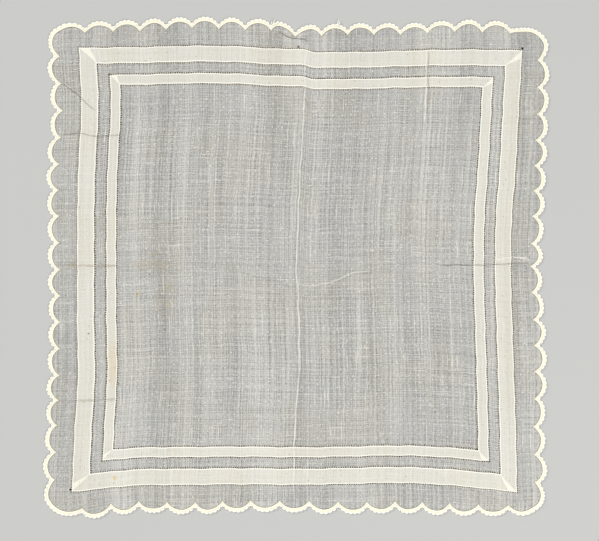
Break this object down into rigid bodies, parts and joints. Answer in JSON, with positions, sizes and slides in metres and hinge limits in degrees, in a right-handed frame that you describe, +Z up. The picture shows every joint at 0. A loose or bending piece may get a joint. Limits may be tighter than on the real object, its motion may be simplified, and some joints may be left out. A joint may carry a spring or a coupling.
{
  "type": "handkerchief",
  "caption": "Square sheer lawn handkerchief lying open, with a lobed lace edge and two mitred frames of opaque bands.",
  "frame": {"origin": "middle of the open sheet on the surface it lies on", "axes": "+Z up from the face of the sheet, +Y to its top edge, +X to its right edge"},
  "size_m": [0.3422, 0.3382, 0.0044],
  "materials": {
    "sheer_lawn": "sheer matt lawn",
    "band_lawn": "opaque matt lawn",
    "lace_thread": "matt cotton thread"
  },
  "bodies": {
    "root": {"lawn_ground": "sheer_lawn", "outer_band_top": "band_lawn", "outer_band_right": "band_lawn", "outer_band_bottom": "band_lawn", "outer_band_left": "band_lawn", "inner_band_top": "band_lawn", "inner_band_right": "band_lawn", "inner_band_bottom": "band_lawn", "inner_band_left": "band_lawn", "lace_edging": "lace_thread"}
  },
  "joints": []
}
